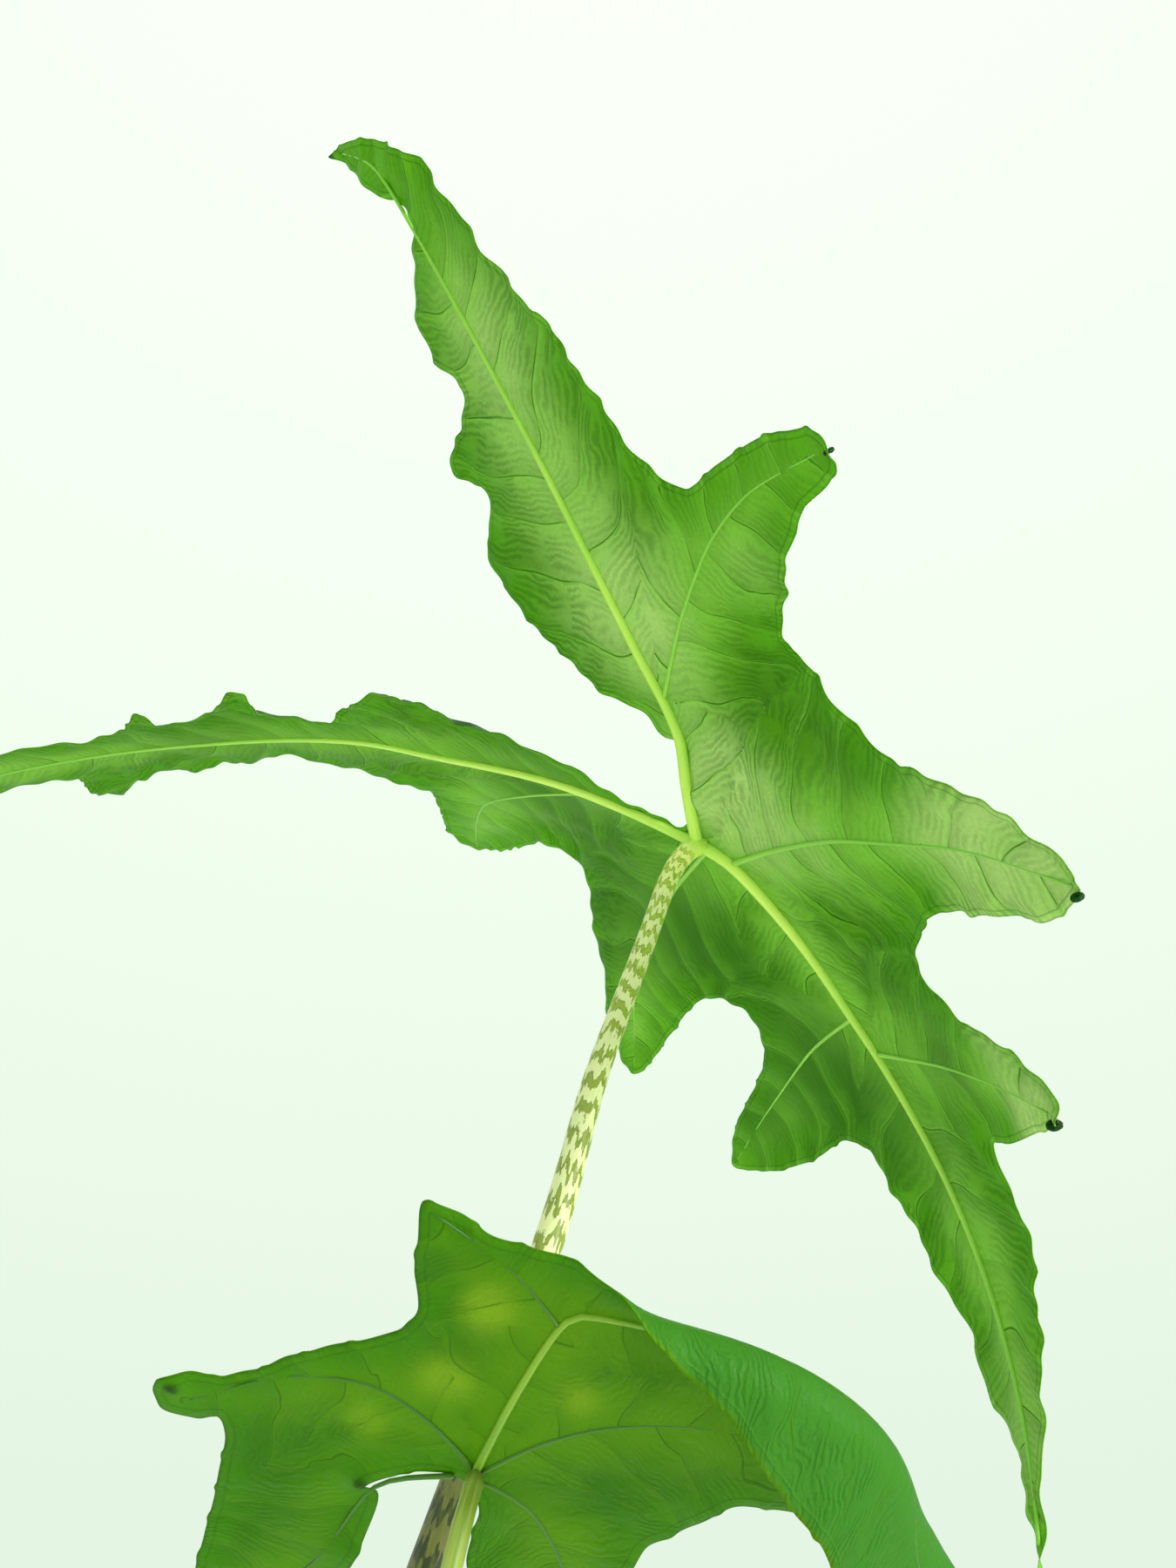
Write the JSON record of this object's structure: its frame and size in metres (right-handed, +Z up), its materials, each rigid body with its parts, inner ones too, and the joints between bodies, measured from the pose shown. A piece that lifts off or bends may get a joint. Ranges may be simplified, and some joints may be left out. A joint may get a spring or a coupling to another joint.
{
  "type": "potted alocasia",
  "caption": "Potted alocasia: tall mottled leaf stalks rising from a corm in a plain pot, carrying deeply lobed arching leaves.",
  "frame": {"origin": "centre of the pot's flat foot, on the surface the pot stands on", "axes": "+Z up, +X to the right and +Y away from someone facing the plant from its viewing side"},
  "size_m": [0.36, 0.3031, 0.8574],
  "materials": {
    "pot": "satin moulded plastic",
    "soil": "moist crumbly potting mix",
    "corm": "rough ringed bark",
    "petiole_upper": "smooth, pale with dark olive cross mottling",
    "petiole_lower": "smooth yellow-green",
    "young_leaf": "smooth fresh green",
    "sheath": "dry and fibrous",
    "blade_upper": "satin leaf with pale raised ribs",
    "blade_lower": "satin leaf with pale raised ribs"
  },
  "bodies": {
    "root": {"pot": "pot", "soil": "soil", "corm": "corm", "petiole_upper": "petiole_upper", "petiole_lower": "petiole_lower", "young_leaf": "young_leaf", "sheath": "sheath", "blade_upper": "blade_upper", "blade_lower": "blade_lower"}
  },
  "joints": []
}
